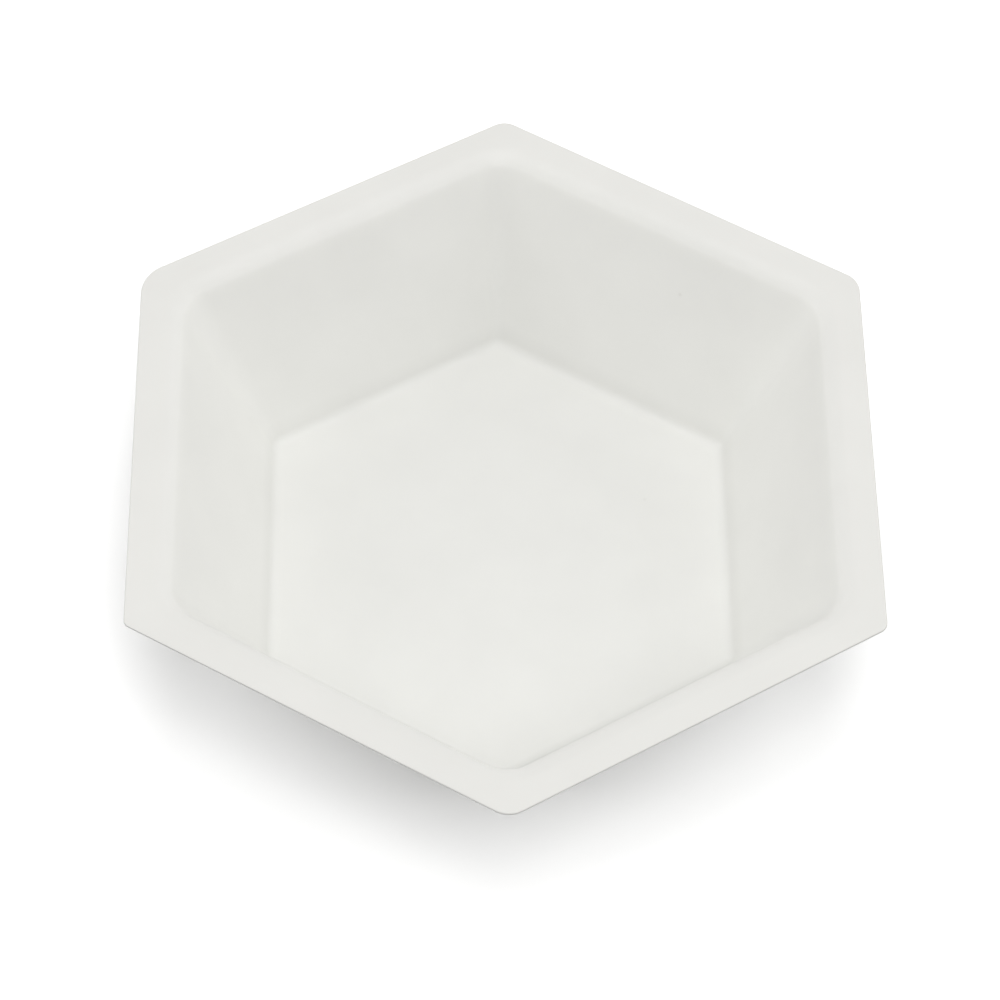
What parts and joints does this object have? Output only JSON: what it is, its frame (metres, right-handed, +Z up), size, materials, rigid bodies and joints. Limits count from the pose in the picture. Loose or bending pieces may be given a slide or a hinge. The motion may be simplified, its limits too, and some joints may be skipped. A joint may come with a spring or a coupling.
{
  "type": "weighing boat",
  "caption": "Hexagonal dish of thin white plastic with a flat floor, sloping walls and a level lip, for weighing and pouring small amounts of powder or liquid.",
  "frame": {"origin": "centre of the base's underside", "axes": "+Z up, out of the open dish; +X towards the middle of a flat side; +Y towards a corner"},
  "size_m": [0.08, 0.0916, 0.0206],
  "materials": {
    "polystyrene_sheet": "matte"
  },
  "bodies": {
    "root": {"weighing_boat": "polystyrene_sheet"}
  },
  "joints": []
}
